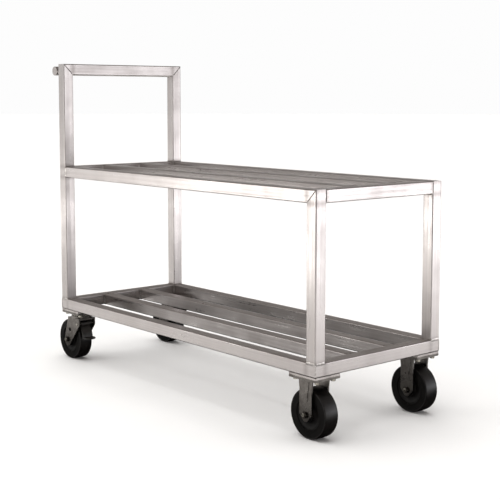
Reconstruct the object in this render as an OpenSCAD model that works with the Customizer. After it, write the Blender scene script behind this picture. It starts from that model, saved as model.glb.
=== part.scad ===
// Two-deck platform truck: a welded frame of square aluminium tube with open bar decks,
// a raised handle frame, two rigid casters in front and two braked swivel casters behind.
// X runs along the truck with the front at +X and the handle at -X, Z is up, the floor is Z = 0.
// "right" is the -Y side, as seen by someone who pushes at the handle.

/* [Decks] */
// Length of both decks over their end rails
deck_l = 1400; // [900:10:1800]
// Width of both decks over their side rails
deck_w = 540; // [420:10:800]
// Height of the upper deck's top above the floor
upper_deck_h = 738; // [550:1:900]

/* [Tube] */
// Outside size of the square tube
tube = 40; // [32:1:48]
// Wall of the square tube
tube_wall = 3; // [2:0.5:5]
// Outside corner radius of the square tube
tube_corner_r = 3.5; // [1:0.5:4]

/* [Welds] */
// Height of the weld beads over the outer faces of the frame
weld_proud = 1.5; // [1:0.1:2.5]
// Reach of the weld beads to each side of a joint
weld_reach = 5; // [3:0.5:6]

/* [Handle] */
// Height of the handle frame's top above the floor
handle_h = 1120; // [950:1:1250]
// Outside diameter of the round push handle
grip_d = 33.7; // [25:0.1:38]
// Wall of the push handle and of its stubs
grip_wall = 2.3; // [1.5:0.1:4]
// Distance from the handle posts' rear faces to the centre of the push handle
grip_standoff = 42; // [34:0.5:90]
// Distance from the frame's side to each end of the push handle
grip_inset = 9; // [0:0.5:20]
// Drop of the push handle's centre below the centre of the handle rail
grip_drop = 5; // [0:0.5:12]
// Outside diameter of the two stubs that carry the push handle
stub_d = 21.3; // [16:0.1:24]

/* [Casters] */
// Overall height of a caster, from its top plate to the floor
caster_h = 190.5; // [190:0.5:240]
// Wheel diameter
wheel_d = 152.4; // [120:0.1:156]
// Wheel width at the tread
wheel_w = 50.8; // [38:0.1:56]
// Radius of the tread's crown, across its width
tread_crown_r = 200; // [60:5:400]
// Radius at which the tyre meets the wheel core
core_r = 49; // [40:0.5:54]
// Length of the wheel's hub
hub_w = 60; // [58:0.5:70]
// Length of a caster's top plate and of its pad
plate_l = 114; // [108:1:140]
// Width of a caster's top plate and of its pad
plate_w = 102; // [96:1:130]
// Thickness of a caster's top plate
plate_t = 8; // [4:0.5:8]
// Thickness of the pads welded under the frame's corners
pad_t = 6; // [4:0.5:10]
// Spacing of the mounting bolts along the truck
bolt_dx = 90; // [84:1:116]
// Spacing of the mounting bolts across the truck
bolt_dy = 66; // [60:1:104]
// Diameter of the mounting bolts
bolt_d = 8; // [6:1:10]

/* [Forks and axles] */
// Thickness of the fork legs
leg_t = 5; // [4:0.5:6]
// Width of a rigid fork's legs
rigid_leg_w = 51; // [46:1:70]
// Radius of the fork legs' lower ends
leg_tip_r = 12; // [10:0.5:16]
// Diameter of the axle bolts
axle_d = 12; // [10:0.5:14]
// Outside diameter of the axle sleeves
sleeve_d = 20; // [18:0.5:24]
// Diameter of the bearing rollers
roller_d = 6; // [4:0.5:7]
// Rollers in a wheel
rollers = 10; // [8:1:12]

/* [Swivels] */
// Distance that a swivel wheel trails behind its kingpin
swivel_lead = 44.5; // [35:0.5:52]
// Diameter of the kingpins
kingpin_d = 14; // [12:0.5:16]
// Diameter of the balls in the swivel race
ball_d = 8; // [6:0.5:8]
// Radius of the ball ring
race_r = 30; // [28:0.5:31]
// Balls in a race
balls = 21; // [12:1:22]
// Outside radius of the races
crown_r = 38; // [36:0.5:40]

/* [Brake] */
// Gap between the brake shoe and the tread when the brake is off
shoe_gap = 9; // [6:0.5:10]
// Distance that the brake pedal reaches in front of the kingpin
pedal_reach = 76; // [66:1:100]
// Width of the brake pedal
pedal_w = 46; // [36:1:52]

/* [Hidden] */

$fn = 96;
aluminium = "gainsboro";
zinc = "silver";
plated = "lightgray";
rubber = "#1c1c1c";
polymer = "#2b2a28";
brake_black = "#3a3733";

right = -1;
left = 1;

// Clearances
run_fit = 0.05;        // radial, between a shaft and what turns on it
bolt_slack = 0.5;      // radial, around a bolt that is only clamped
relief = 1;            // how far a cut runs past the surface it opens

// Heights of the frame
lower_z = caster_h + pad_t;
lower_top = lower_z + tube;
upper_z = upper_deck_h - tube;
handle_rail_z = handle_h - tube;
cut_reach = 2 * tube;

// Places along and across the truck. The box over everything is centred on X = 0.
wheel_r = wheel_d / 2;
grip_out = grip_standoff + grip_d / 2;
caster_out = swivel_lead + wheel_r - plate_l / 2;
overhang_rear = max(grip_out, caster_out);
overhang_front = max(0, wheel_r - plate_l / 2);
x_front = (deck_l + overhang_rear - overhang_front) / 2;
x_rear = x_front - deck_l;
side_y = (deck_w - tube) / 2;
bar_y = side_y / 3;
caster_y = (deck_w - plate_w) / 2;
stub_y = side_y - 5;
grip_end_t = 3;
rigid_x = x_front - plate_l / 2;
swivel_x = x_rear + plate_l / 2;

// Bolts
bolt_head_h = bolt_d;
bolt_flange_r = 1.1 * bolt_d;
bolt_flange_t = bolt_d / 5;
bolt_hex_r = 0.94 * bolt_d;
bolt_point = tube_wall + 3;
plate_corner_r = 3;
plate_under = caster_h - plate_t;
pad_relief_r = kingpin_d / 2 + 7;

// Forks, axles and wheels
leg_in = hub_w / 2 + 1;
leg_out = leg_in + leg_t;
sleeve_r = sleeve_d / 2;
axle_r = axle_d / 2;
axle_head_h = 0.62 * axle_d;
axle_nut_h = 0.6 * axle_d;
axle_hex_r = 0.87 * axle_d;
axle_point = 2.5;
roller_ring_r = sleeve_r + run_fit + roller_d / 2;
core_bore_r = roller_ring_r + roller_d / 2 + run_fit;
roller_l = hub_w - 14;
core_rim_w = wheel_w - 6;
core_rim_in = core_r - 7;
hub_r = core_bore_r + 8;
core_web_w = 40;
leg_tip_drop = 10;
rib_t = 2;
rib_w = 0.62 * rigid_leg_w;
rib_tip_r = 9;
rib_end_z = wheel_r + 46;
rigid_leg_flare = 4;

// Swivel race, kingpin and fork crown
ball_r = ball_d / 2;
race_gap = 3;
ball_z = plate_under - 9.5;
race_bore_r = race_r - ball_r - 3;
crown_top = ball_z - race_gap / 2;
crown_plate_t = 6;
crown_under = ball_z - 9 - crown_plate_t;
kingpin_r = kingpin_d / 2;
kingpin_head_r = kingpin_r + 4;
kingpin_head_h = pad_t - 1;
kingpin_nut_h = 4;
kingpin_nut_r = kingpin_r + 5;
nut_slack = 0.3;
leg_rear_x = -crown_r - 2;
leg_front_x = crown_r;
leg_hole_r = 7.5;
leg_hole_x = -swivel_lead + 18;
leg_hole_z = wheel_r + 40;

// Brake
pin_r = 4;
barrel_r = 8;
shoe_t = 5;
pivot_x = leg_front_x - 13;
pivot_z = sqrt(pow(wheel_r + shoe_gap + barrel_r + 3, 2) - pow(pivot_x + swivel_lead, 2)) + wheel_r;
ear_z = pivot_z - 5;
shoe_low = 9;
shoe_high = 47;
shoe_w = pedal_w - 4;
tongue_t = 4;
tongue_z = wheel_r + (wheel_r + shoe_gap) * sin(shoe_low);
tongue_r = pedal_w / 2;

// Point where a line from p touches the circle of radius r round c, on the given side
function tangent_point(c, r, p, side) =
    let (v = p - c, turn = atan2(v[1], v[0]) + side * acos(r / norm(v)))
    c + r * [cos(turn), sin(turn)];

// ---- Tube ----

module rounded_rect(size_x, size_y, r) {
    square([size_x - 2 * r, size_y], center = true);
    square([size_x, size_y - 2 * r], center = true);
    for (sx = [-1, 1], sy = [-1, 1])
        translate([sx * (size_x / 2 - r), sy * (size_y / 2 - r)]) circle(r);
}

module tube_section() {
    difference() {
        rounded_rect(tube, tube, tube_corner_r);
        square(tube - 2 * tube_wall, center = true);
    }
}

// Square tubes that run along X, Y or Z. z is the height of the tube's underside.
module tube_along_x(x0, x1, y, z) {
    translate([x0, y, z + tube / 2]) rotate([0, 90, 0]) linear_extrude(x1 - x0) tube_section();
}

module tube_along_y(y0, y1, x, z) {
    translate([x, y0, z + tube / 2]) rotate([-90, 0, 0]) linear_extrude(y1 - y0) tube_section();
}

module tube_along_z(z0, z1, x, y) {
    translate([x, y, z0]) linear_extrude(z1 - z0) tube_section();
}

// A block that takes away what lies past the point "at" in the direction of yaw and pitch
module cut_beyond(at, yaw = 0, pitch = 0) {
    translate(at) rotate([0, pitch, yaw]) translate([0, -cut_reach, -cut_reach])
        cube([cut_reach, 2 * cut_reach, 2 * cut_reach]);
}

// ---- Caster places ----

module at_rigid(side) { translate([rigid_x, side * caster_y, 0]) children(); }
module at_swivel(side) { translate([swivel_x, side * caster_y, 0]) children(); }
module at_swivel_axle(side) { translate([swivel_x - swivel_lead, side * caster_y, wheel_r]) children(); }
module at_rigid_axle(side) { translate([rigid_x, side * caster_y, wheel_r]) children(); }

module at_plate_bolts() {
    for (sx = [-1, 1], sy = [-1, 1]) translate([sx * bolt_dx / 2, sy * bolt_dy / 2, 0]) children();
}

module at_all_casters() {
    for (side = [right, left]) {
        at_rigid(side) children();
        at_swivel(side) children();
    }
}

// Holes in the lower rails that clear the points of the mounting bolts
module bolt_point_holes() {
    at_all_casters() at_plate_bolts() translate([0, 0, lower_z - relief])
        cylinder(r = bolt_d / 2 + 1.5, h = tube_wall + 2 * relief);
}

// ---- Lower frame: rails mitred in plan, bars between the end rails ----

module lower_side_rail(side) {
    color(aluminium) difference() {
        tube_along_x(x_rear, x_front, side * side_y, lower_z);
        cut_beyond([x_front, side * deck_w / 2, lower_z], -side * 45);
        cut_beyond([x_rear, side * deck_w / 2, lower_z], -side * 135);
        bolt_point_holes();
    }
}

// end is 1 for the front rail and -1 for the rear rail
module lower_end_rail(end) {
    x_out = end > 0 ? x_front : x_rear;
    color(aluminium) difference() {
        tube_along_y(-deck_w / 2, deck_w / 2, x_out - end * tube / 2, lower_z);
        for (side = [right, left])
            cut_beyond([x_out, side * deck_w / 2, lower_z], end > 0 ? side * 135 : side * 45);
        bolt_point_holes();
    }
}

module deck_bar(side, z) {
    color(aluminium) tube_along_x(x_rear + tube, x_front - tube, side * bar_y, z);
}

// ---- Posts, upper deck and handle frame ----

module front_post(side) {
    color(aluminium) difference() {
        tube_along_z(lower_top, upper_deck_h, x_front - tube / 2, side * side_y);
        cut_beyond([x_front, side * side_y, upper_deck_h], 0, 225);
    }
}

module upper_side_rail(side) {
    color(aluminium) difference() {
        tube_along_x(x_rear + tube, x_front, side * side_y, upper_z);
        cut_beyond([x_front, side * side_y, upper_deck_h], 0, 45);
    }
}

module upper_end_rail(end) {
    x_mid = end > 0 ? x_front - tube / 2 : x_rear + tube / 2;
    color(aluminium) tube_along_y(-deck_w / 2 + tube, deck_w / 2 - tube, x_mid, upper_z);
}

module handle_post(side) {
    color(aluminium) difference() {
        tube_along_z(lower_top, handle_h, x_rear + tube / 2, side * side_y);
        cut_beyond([x_rear + tube / 2, side * deck_w / 2, handle_h], -side * 90, -45);
    }
}

module handle_top_rail() {
    color(aluminium) difference() {
        tube_along_y(-deck_w / 2, deck_w / 2, x_rear + tube / 2, handle_rail_z);
        for (side = [right, left])
            cut_beyond([x_rear + tube / 2, side * deck_w / 2, handle_h], side * 90, 45);
    }
}

// A round bar across the truck with closed ends, on a stub from each handle post
module push_handle() {
    grip_l = deck_w - 2 * grip_inset;
    bore_l = grip_l - 2 * grip_end_t;
    color(aluminium) translate([x_rear - grip_standoff, 0, handle_h - tube / 2 - grip_drop]) difference() {
        union() {
            rotate([90, 0, 0]) cylinder(d = grip_d, h = grip_l, center = true);
            for (side = [right, left])
                translate([0, side * stub_y, 0]) rotate([0, 90, 0]) cylinder(d = stub_d, h = grip_standoff);
        }
        rotate([90, 0, 0]) cylinder(d = grip_d - 2 * grip_wall, h = bore_l, center = true);
        for (side = [right, left]) translate([0, side * stub_y, 0]) rotate([0, 90, 0])
            cylinder(d = stub_d - 2 * grip_wall, h = grip_standoff + relief);
    }
}

// ---- Welds that stand proud of the frame's outer faces ----

// Outline of a weld round a post's base: thin on the two outer faces, wide on top of the rails
module weld_ring(end, side) {
    size = tube + weld_reach + weld_proud;
    inward = (weld_reach - weld_proud) / 2;
    translate([-end * inward, -side * inward]) rounded_rect(size, size, tube_corner_r + weld_proud);
}

module post_base_weld(end, side) {
    x_mid = end > 0 ? x_front - tube / 2 : x_rear + tube / 2;
    translate([x_mid, side * side_y, lower_top]) linear_extrude(weld_reach) difference() {
        weld_ring(end, side);
        rounded_rect(tube, tube, tube_corner_r);
    }
    difference() {
        translate([x_mid, side * side_y, lower_top - weld_reach]) linear_extrude(weld_reach) difference() {
            weld_ring(end, side);
            translate([-end * (tube / 2 + tube_corner_r), -side * (tube / 2 + tube_corner_r)])
                square(2 * tube, center = true);
        }
        lower_side_rail(side);
        lower_end_rail(end);
    }
}

// Seam where an upper side rail meets its handle post
module side_seam(side) {
    y_mid = side * (deck_w + weld_proud - tube_corner_r) / 2;
    difference() {
        translate([x_rear + tube, y_mid, upper_z + tube / 2])
            cube([2 * weld_reach, weld_proud + tube_corner_r, tube - 2 * tube_corner_r], center = true);
        handle_post(side);
        upper_side_rail(side);
    }
}

module frame_welds() {
    color(aluminium) for (side = [right, left]) {
        for (end = [-1, 1]) post_base_weld(end, side);
        side_seam(side);
    }
}

// ---- Caster pads and mounting bolts ----

module plate_blank(t) {
    linear_extrude(t) rounded_rect(plate_l, plate_w, plate_corner_r);
}

module caster_pads() {
    color(aluminium) at_all_casters() translate([0, 0, caster_h]) difference() {
        plate_blank(pad_t);
        at_plate_bolts() translate([0, 0, -relief]) cylinder(d = bolt_d, h = pad_t + 2 * relief);
        translate([0, 0, -relief]) cylinder(r = pad_relief_r, h = pad_t + 2 * relief);
    }
}

module caster_bolts() {
    color(zinc) at_all_casters() at_plate_bolts() {
        translate([0, 0, plate_under]) cylinder(d = bolt_d, h = plate_t + pad_t + bolt_point);
        translate([0, 0, plate_under - bolt_flange_t]) cylinder(r = bolt_flange_r, h = bolt_flange_t);
        translate([0, 0, plate_under - bolt_head_h])
            cylinder(r = bolt_hex_r, h = bolt_head_h - bolt_flange_t, $fn = 6);
    }
}

module plate_with_holes() {
    translate([0, 0, plate_under]) difference() {
        plate_blank(plate_t);
        at_plate_bolts() translate([0, 0, -relief])
            cylinder(r = bolt_d / 2 + bolt_slack, h = plate_t + 2 * relief);
        children();
    }
}

// ---- Rigid casters ----

// Outlines below lie in the XZ plane of the caster and are stood up by "upright"
module upright(y, t) {
    translate([0, y + t / 2, 0]) rotate([90, 0, 0]) linear_extrude(t) children();
}

// A tongue from a straight top edge down to a round tip
module tapered_tongue(top_a, top_b, tip, r) {
    polygon([top_a, top_b, tangent_point(tip, r, top_b, -1), tip, tangent_point(tip, r, top_a, 1)]);
    translate(tip) circle(r);
}

module rigid_leg_outline() {
    half = rigid_leg_w / 2;
    tip = [0, wheel_r - leg_tip_drop];
    polygon([[-half - rigid_leg_flare, plate_under], [half + rigid_leg_flare, plate_under],
             [half, plate_under - 30], [half, wheel_r], [-half, wheel_r], [-half, plate_under - 30]]);
    tapered_tongue([-half, wheel_r], [half, wheel_r], tip, leg_tip_r);
}

module rigid_fork(side) {
    color(plated) at_rigid(side) {
        plate_with_holes();
        for (s = [-1, 1]) difference() {
            union() {
                upright(s * (leg_in + leg_t / 2), leg_t) rigid_leg_outline();
                upright(s * (leg_out + rib_t / 2), rib_t)
                    tapered_tongue([-rib_w / 2, plate_under], [rib_w / 2, plate_under], [0, rib_end_z], rib_tip_r);
            }
            upright(s * (leg_in + leg_t / 2), leg_t + 2 * relief)
                translate([0, wheel_r]) circle(axle_r + run_fit);
        }
    }
}

// Axle parts are drawn round an axle along Y through the origin. Every head faces left, every nut right.
module axle_bolt() {
    rotate([-90, 0, 0]) {
        translate([0, 0, -leg_out - axle_nut_h - axle_point])
            cylinder(r = axle_r, h = 2 * leg_out + axle_nut_h + axle_point);
        translate([0, 0, leg_out]) cylinder(r = axle_hex_r, h = axle_head_h, $fn = 6);
    }
}

module axle_nut() {
    rotate([-90, 0, 0]) translate([0, 0, -leg_out - axle_nut_h]) difference() {
        cylinder(r = axle_hex_r, h = axle_nut_h, $fn = 6);
        translate([0, 0, -relief]) cylinder(r = axle_r, h = axle_nut_h + 2 * relief);
    }
}

module axle_sleeve() {
    rotate([90, 0, 0]) difference() {
        cylinder(r = sleeve_r, h = 2 * leg_in, center = true);
        cylinder(r = axle_r + run_fit, h = 2 * leg_in + 2 * relief, center = true);
    }
}

module rigid_axle_bolts() { color(zinc) for (side = [right, left]) at_rigid_axle(side) axle_bolt(); }
module rigid_axle_nuts() { color(zinc) for (side = [right, left]) at_rigid_axle(side) axle_nut(); }
module rigid_axle_sleeves() { color(zinc) for (side = [right, left]) at_rigid_axle(side) axle_sleeve(); }

// ---- Wheels ----

// Turned about the Y axis; x of the outline is the radius and y is the width
module turned() { rotate([90, 0, 0]) rotate_extrude() children(); }

module tyre() {
    color(rubber) turned() intersection() {
        translate([core_r, -wheel_w / 2]) square([wheel_r - core_r, wheel_w]);
        translate([wheel_r - tread_crown_r, 0]) circle(tread_crown_r);
    }
}

module wheel_core() {
    color(polymer) turned() {
        translate([core_rim_in, -core_rim_w / 2]) square([core_r - core_rim_in, core_rim_w]);
        translate([core_bore_r, -core_web_w / 2]) square([core_rim_in - core_bore_r, core_web_w]);
        translate([core_bore_r, -hub_w / 2]) square([hub_r - core_bore_r, hub_w]);
    }
}

module wheel_rollers() {
    color(zinc) rotate([90, 0, 0]) for (i = [0 : rollers - 1])
        rotate(i * 360 / rollers) translate([roller_ring_r, 0, 0])
            cylinder(d = roller_d, h = roller_l, center = true);
}

// ---- Swivel casters, drawn with the kingpin on the Z axis ----

module race_groove() {
    translate([0, 0, ball_z]) rotate_extrude() translate([race_r, 0]) circle(ball_r + run_fit);
}

module swivel_plate(side) {
    color(plated) at_swivel(side) difference() {
        union() {
            plate_with_holes();
            translate([0, 0, ball_z + race_gap / 2])
                cylinder(r = crown_r, h = plate_under - ball_z - race_gap / 2);
        }
        translate([0, 0, ball_z]) cylinder(r = race_bore_r, h = plate_under - ball_z);
        translate([0, 0, ball_z]) cylinder(r = kingpin_r, h = caster_h);
        race_groove();
    }
}

module kingpins() {
    pin_end = crown_under - nut_slack - kingpin_nut_h;
    color(zinc) for (side = [right, left]) at_swivel(side) {
        translate([0, 0, pin_end]) cylinder(r = kingpin_r, h = caster_h - pin_end);
        translate([0, 0, caster_h]) cylinder(r = kingpin_head_r, h = kingpin_head_h);
    }
}

module kingpin_nuts() {
    color(zinc) for (side = [right, left])
        at_swivel(side) translate([0, 0, crown_under - nut_slack - kingpin_nut_h]) difference() {
            cylinder(r = kingpin_nut_r, h = kingpin_nut_h, $fn = 6);
            translate([0, 0, -relief]) cylinder(r = kingpin_r, h = kingpin_nut_h + 2 * relief);
        }
}

module race_balls(side) {
    color(zinc) at_swivel(side) for (i = [0 : balls - 1])
        rotate(i * 360 / balls) translate([race_r, 0, ball_z]) sphere(ball_r, $fn = 32);
}

module swivel_leg_outline() {
    top = crown_under + crown_plate_t;
    tip = [-swivel_lead, wheel_r - 4];
    tip_r = leg_tip_r + 10;
    polygon([[leg_rear_x, top], [leg_front_x, top], [leg_front_x, ear_z],
             tangent_point(tip, tip_r, [leg_front_x, ear_z], -1), tip,
             tangent_point(tip, tip_r, [leg_rear_x, crown_under], 1), [leg_rear_x, crown_under]]);
    translate(tip) circle(tip_r);
}

module swivel_fork(side) {
    color(plated) at_swivel(side) difference() {
        union() {
            translate([0, 0, crown_under]) cylinder(r = crown_r, h = crown_top - crown_under);
            translate([leg_rear_x, -leg_out, crown_under])
                cube([leg_front_x - leg_rear_x, 2 * leg_out, crown_plate_t]);
            for (s = [-1, 1]) upright(s * (leg_in + leg_t / 2), leg_t) swivel_leg_outline();
        }
        translate([0, 0, crown_under - relief])
            cylinder(r = kingpin_r + run_fit, h = crown_top - crown_under + 2 * relief);
        translate([0, 0, crown_under + crown_plate_t]) cylinder(r = race_bore_r, h = crown_top);
        race_groove();
        upright(0, 3 * leg_out) {
            translate([-swivel_lead, wheel_r]) circle(axle_r + run_fit);
            translate([leg_hole_x, leg_hole_z]) circle(leg_hole_r);
            translate([pivot_x, pivot_z]) circle(pin_r);
        }
    }
}

module swivel_axle_bolt(side) { color(zinc) at_swivel_axle(side) axle_bolt(); }
module swivel_axle_nut(side) { color(zinc) at_swivel_axle(side) axle_nut(); }
module swivel_axle_sleeve(side) { color(zinc) at_swivel_axle(side) axle_sleeve(); }

// ---- Brake: a pin across the fork's ears, and a lever with a shoe and a foot pedal ----

module brake_pin(side) {
    color(zinc) at_swivel(side) upright(0, 2 * leg_out + 3) translate([pivot_x, pivot_z]) circle(pin_r);
}

module shoe_outline() {
    centre = [-swivel_lead, wheel_r];
    far = 3 * wheel_r;
    intersection() {
        difference() {
            translate(centre) circle(wheel_r + shoe_gap + shoe_t);
            translate(centre) circle(wheel_r + shoe_gap);
        }
        translate(centre) polygon([[0, 0], far * [cos(shoe_low), sin(shoe_low)],
                                   far * [cos(shoe_high), sin(shoe_high)]]);
    }
}

module brake_pedal(side) {
    color(brake_black) at_swivel(side) difference() {
        union() {
            upright(0, shoe_w) shoe_outline();
            upright(0, pedal_w) translate([pivot_x, pivot_z]) circle(barrel_r);
            translate([0, 0, tongue_z]) linear_extrude(tongue_t) difference() {
                union() {
                    translate([pedal_reach - tongue_r, 0]) circle(tongue_r);
                    translate([0, -tongue_r]) square([pedal_reach - tongue_r, pedal_w]);
                }
                square([2 * (wheel_r + shoe_gap - swivel_lead + 1), 2 * pedal_w], center = true);
            }
        }
        upright(0, 2 * pedal_w) translate([pivot_x, pivot_z]) circle(pin_r + run_fit);
    }
}

// ---- Nodes ----

lower_side_rail(right);  // lower_side_rail_right
lower_side_rail(left);  // lower_side_rail_left
lower_end_rail(1);  // lower_end_rail_front
lower_end_rail(-1);  // lower_end_rail_rear
deck_bar(right, lower_z);  // lower_deck_bar_right
deck_bar(left, lower_z);  // lower_deck_bar_left
front_post(right);  // front_post_right
front_post(left);  // front_post_left
handle_post(right);  // handle_post_right
handle_post(left);  // handle_post_left
upper_side_rail(right);  // upper_side_rail_right
upper_side_rail(left);  // upper_side_rail_left
upper_end_rail(1);  // upper_end_rail_front
upper_end_rail(-1);  // upper_end_rail_rear
deck_bar(right, upper_z);  // upper_deck_bar_right
deck_bar(left, upper_z);  // upper_deck_bar_left
handle_top_rail();
push_handle();
frame_welds();
caster_pads();
caster_bolts();
rigid_fork(right);  // rigid_fork_right
rigid_fork(left);  // rigid_fork_left
rigid_axle_bolts();
rigid_axle_nuts();
rigid_axle_sleeves();
swivel_plate(right);  // swivel_plate_right
swivel_plate(left);  // swivel_plate_left
kingpins();
kingpin_nuts();
swivel_fork(right);  // swivel_fork_right
swivel_fork(left);  // swivel_fork_left
race_balls(right);  // race_balls_right
race_balls(left);  // race_balls_left
swivel_axle_bolt(right);  // swivel_axle_bolt_right
swivel_axle_bolt(left);  // swivel_axle_bolt_left
swivel_axle_nut(right);  // swivel_axle_nut_right
swivel_axle_nut(left);  // swivel_axle_nut_left
swivel_axle_sleeve(right);  // swivel_axle_sleeve_right
swivel_axle_sleeve(left);  // swivel_axle_sleeve_left
brake_pin(right);  // brake_pin_right
brake_pin(left);  // brake_pin_left
brake_pedal(right);  // brake_pedal_right
brake_pedal(left);  // brake_pedal_left
at_rigid_axle(right) tyre();  // tyre_front_right
at_rigid_axle(left) tyre();  // tyre_front_left
at_swivel_axle(right) tyre();  // tyre_rear_right
at_swivel_axle(left) tyre();  // tyre_rear_left
at_rigid_axle(right) wheel_core();  // wheel_core_front_right
at_rigid_axle(left) wheel_core();  // wheel_core_front_left
at_swivel_axle(right) wheel_core();  // wheel_core_rear_right
at_swivel_axle(left) wheel_core();  // wheel_core_rear_left
at_rigid_axle(right) wheel_rollers();  // wheel_rollers_front_right
at_rigid_axle(left) wheel_rollers();  // wheel_rollers_front_left
at_swivel_axle(right) wheel_rollers();  // wheel_rollers_rear_right
at_swivel_axle(left) wheel_rollers();  // wheel_rollers_rear_left
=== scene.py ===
import bpy
import bmesh
import math
import random
from mathutils import Matrix, Vector, noise


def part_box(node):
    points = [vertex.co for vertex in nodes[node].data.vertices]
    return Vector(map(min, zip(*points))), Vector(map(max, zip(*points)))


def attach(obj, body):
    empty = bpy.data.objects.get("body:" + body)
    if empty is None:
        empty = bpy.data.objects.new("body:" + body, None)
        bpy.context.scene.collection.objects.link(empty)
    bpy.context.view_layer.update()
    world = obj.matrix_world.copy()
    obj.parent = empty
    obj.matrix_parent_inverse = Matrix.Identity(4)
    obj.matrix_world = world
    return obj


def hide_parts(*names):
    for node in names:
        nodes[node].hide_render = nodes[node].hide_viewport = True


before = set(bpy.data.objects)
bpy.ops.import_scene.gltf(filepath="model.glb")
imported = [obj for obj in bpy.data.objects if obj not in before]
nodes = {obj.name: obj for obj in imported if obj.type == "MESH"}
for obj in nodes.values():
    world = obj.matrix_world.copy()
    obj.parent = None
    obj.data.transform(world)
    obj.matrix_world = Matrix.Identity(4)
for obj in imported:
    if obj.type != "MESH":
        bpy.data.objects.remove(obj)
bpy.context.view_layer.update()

mm = 0.001
sides = {"right": -1, "left": 1}
up = Vector((0, 0, 1))


def low(nodeName):
    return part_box(nodeName)[0]


def high(nodeName):
    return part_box(nodeName)[1]


# where the welded frame stands, all read from the fixed nodes
place = {
    "rearX": low("lower_end_rail_rear").x,
    "frontX": high("lower_end_rail_front").x,
    "halfWidth": high("lower_side_rail_left").y,
    "tube": high("front_post_left").x - low("front_post_left").x,
    "lowerBottom": low("lower_side_rail_left").z,
    "lowerTop": high("lower_side_rail_left").z,
    "upperBottom": low("upper_side_rail_left").z,
    "upperTop": high("upper_side_rail_left").z,
    "handleRail": low("handle_top_rail").z,
    "handleTop": high("handle_top_rail").z,
}
place["postY"] = place["halfWidth"] - place["tube"] / 2
place["barY"] = (low("lower_deck_bar_left").y + high("lower_deck_bar_left").y) / 2
print("frame loaded:", len(nodes), "nodes")


# ---- camera, floor and light first

view = {
    "place": (2.9703, -2.4124, 0.9992),
    "tilt": 84.408,  # degrees up from straight down
    "turn": 49.815,
    "lens": 79.74,
    "shiftY": -0.09,
    "sensor": 36,
    "farClip": 200,
}
cameraData = bpy.data.cameras.new("productCamera")
cameraData.lens = view["lens"]
cameraData.sensor_width = view["sensor"]
cameraData.shift_y = view["shiftY"]
cameraData.clip_end = view["farClip"]
camera = bpy.data.objects.new("productCamera", cameraData)
camera.location = view["place"]
camera.rotation_euler = (math.radians(view["tilt"]), 0, math.radians(view["turn"]))
bpy.context.scene.collection.objects.link(camera)
bpy.context.scene.camera = camera
bpy.context.scene.view_settings.view_transform = "Standard"


def linear(hexColour):  # sRGB hex to the linear colour that a socket takes
    channels = [int(hexColour[i:i + 2], 16) / 255 for i in (1, 3, 5)]
    return tuple(c / 12.92 if c <= 0.04045 else ((c + 0.055) / 1.055) ** 2.4
                 for c in channels) + (1.0,)


def addNode(tree, kind, settings=None, links=None):
    node = tree.nodes.new(kind)
    for name, value in (settings or {}).items():
        if isinstance(name, int) or name in node.inputs:
            node.inputs[name].default_value = value
        else:
            setattr(node, name, value)
    for name, source in (links or {}).items():
        tree.links.new(source, node.inputs[name])
    return node


def newMaterial(name):
    material = bpy.data.materials.new(name)
    material.use_nodes = True
    material.node_tree.nodes.clear()
    return material, material.node_tree


def setRamp(rampNode, stops):  # stops are (position, grey or colour)
    ramp = rampNode.color_ramp
    while len(ramp.elements) < len(stops):
        ramp.elements.new(0.5)
    for element, (position, value) in zip(ramp.elements, stops):
        element.position = position
        element.color = value if isinstance(value, tuple) else (value, value, value, 1)


studio = {
    "floorRadius": 60,
    "floorColour": "#fafaf9",
    "floorCloud": "#f6f6f5",
    "floorCloudSize": 625 * mm,
    "floorSegments": 96,
    # the backdrop by height: white at the horizon, then a dim warm ceiling
    "backdrop": [(0.0, "#fdfdfd"), (0.1, "#fdfdfd"), (0.2, "#a8a29e"), (1.0, "#8b8683")],
    "sunPower": 2.75,
    "sunAngle": 90,
    "sunTilt": (8, -14),
    "sunHeight": 4,
}
# soft boxes: place, where it faces, width, height, how bright it looks, colour
softBoxes = {
    "frontLow": {"place": (3.1, 2.3, 0.32), "aim": (0.6, 0.0, 0.5), "size": (2.6, 0.6),
                 "glow": 3.0, "colour": (0.96, 0.96, 1.0)},
    "frontHigh": {"place": (3.15, 2.3, 1.2), "aim": (0.6, 0.0, 0.8), "size": (2.6, 1.1),
                  "glow": 1.15, "colour": (0.94, 0.94, 1.0)},
    "sideNear": {"place": (-1.35, -2.3, 0.5), "aim": (0.5, -0.2, 0.4), "size": (1.3, 0.9),
                 "glow": 3.0, "colour": (1.0, 0.98, 0.95)},
    "sideFar": {"place": (-3.2, -2.4, 0.16), "aim": (-0.4, -0.2, 0.3), "size": (2.4, 0.3),
                "glow": 2.4, "colour": (1.0, 0.99, 0.97)},
}
# Black cloths that only reflections show, so that the metal's corners and lower faces read dark.
# The flat ones lie just over the floor, each from its low to its high corner. The screens stand
# on an arc round the truck.
cloth = {"colour": "#2e2c2a", "height": 4 * mm, "arcRadius": 5.5, "screenHeight": 1.1, "arcSteps": 24}
flatCloths = {"sideCloth": ((-3.6, -1.9), (0.2, -1.12)), "underCloth": ((-1.2, -0.5), (1.0, 1.2))}
screens = {"rearScreen": (75, 198), "cameraScreen": (-95, 5)}  # degrees from +X

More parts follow.
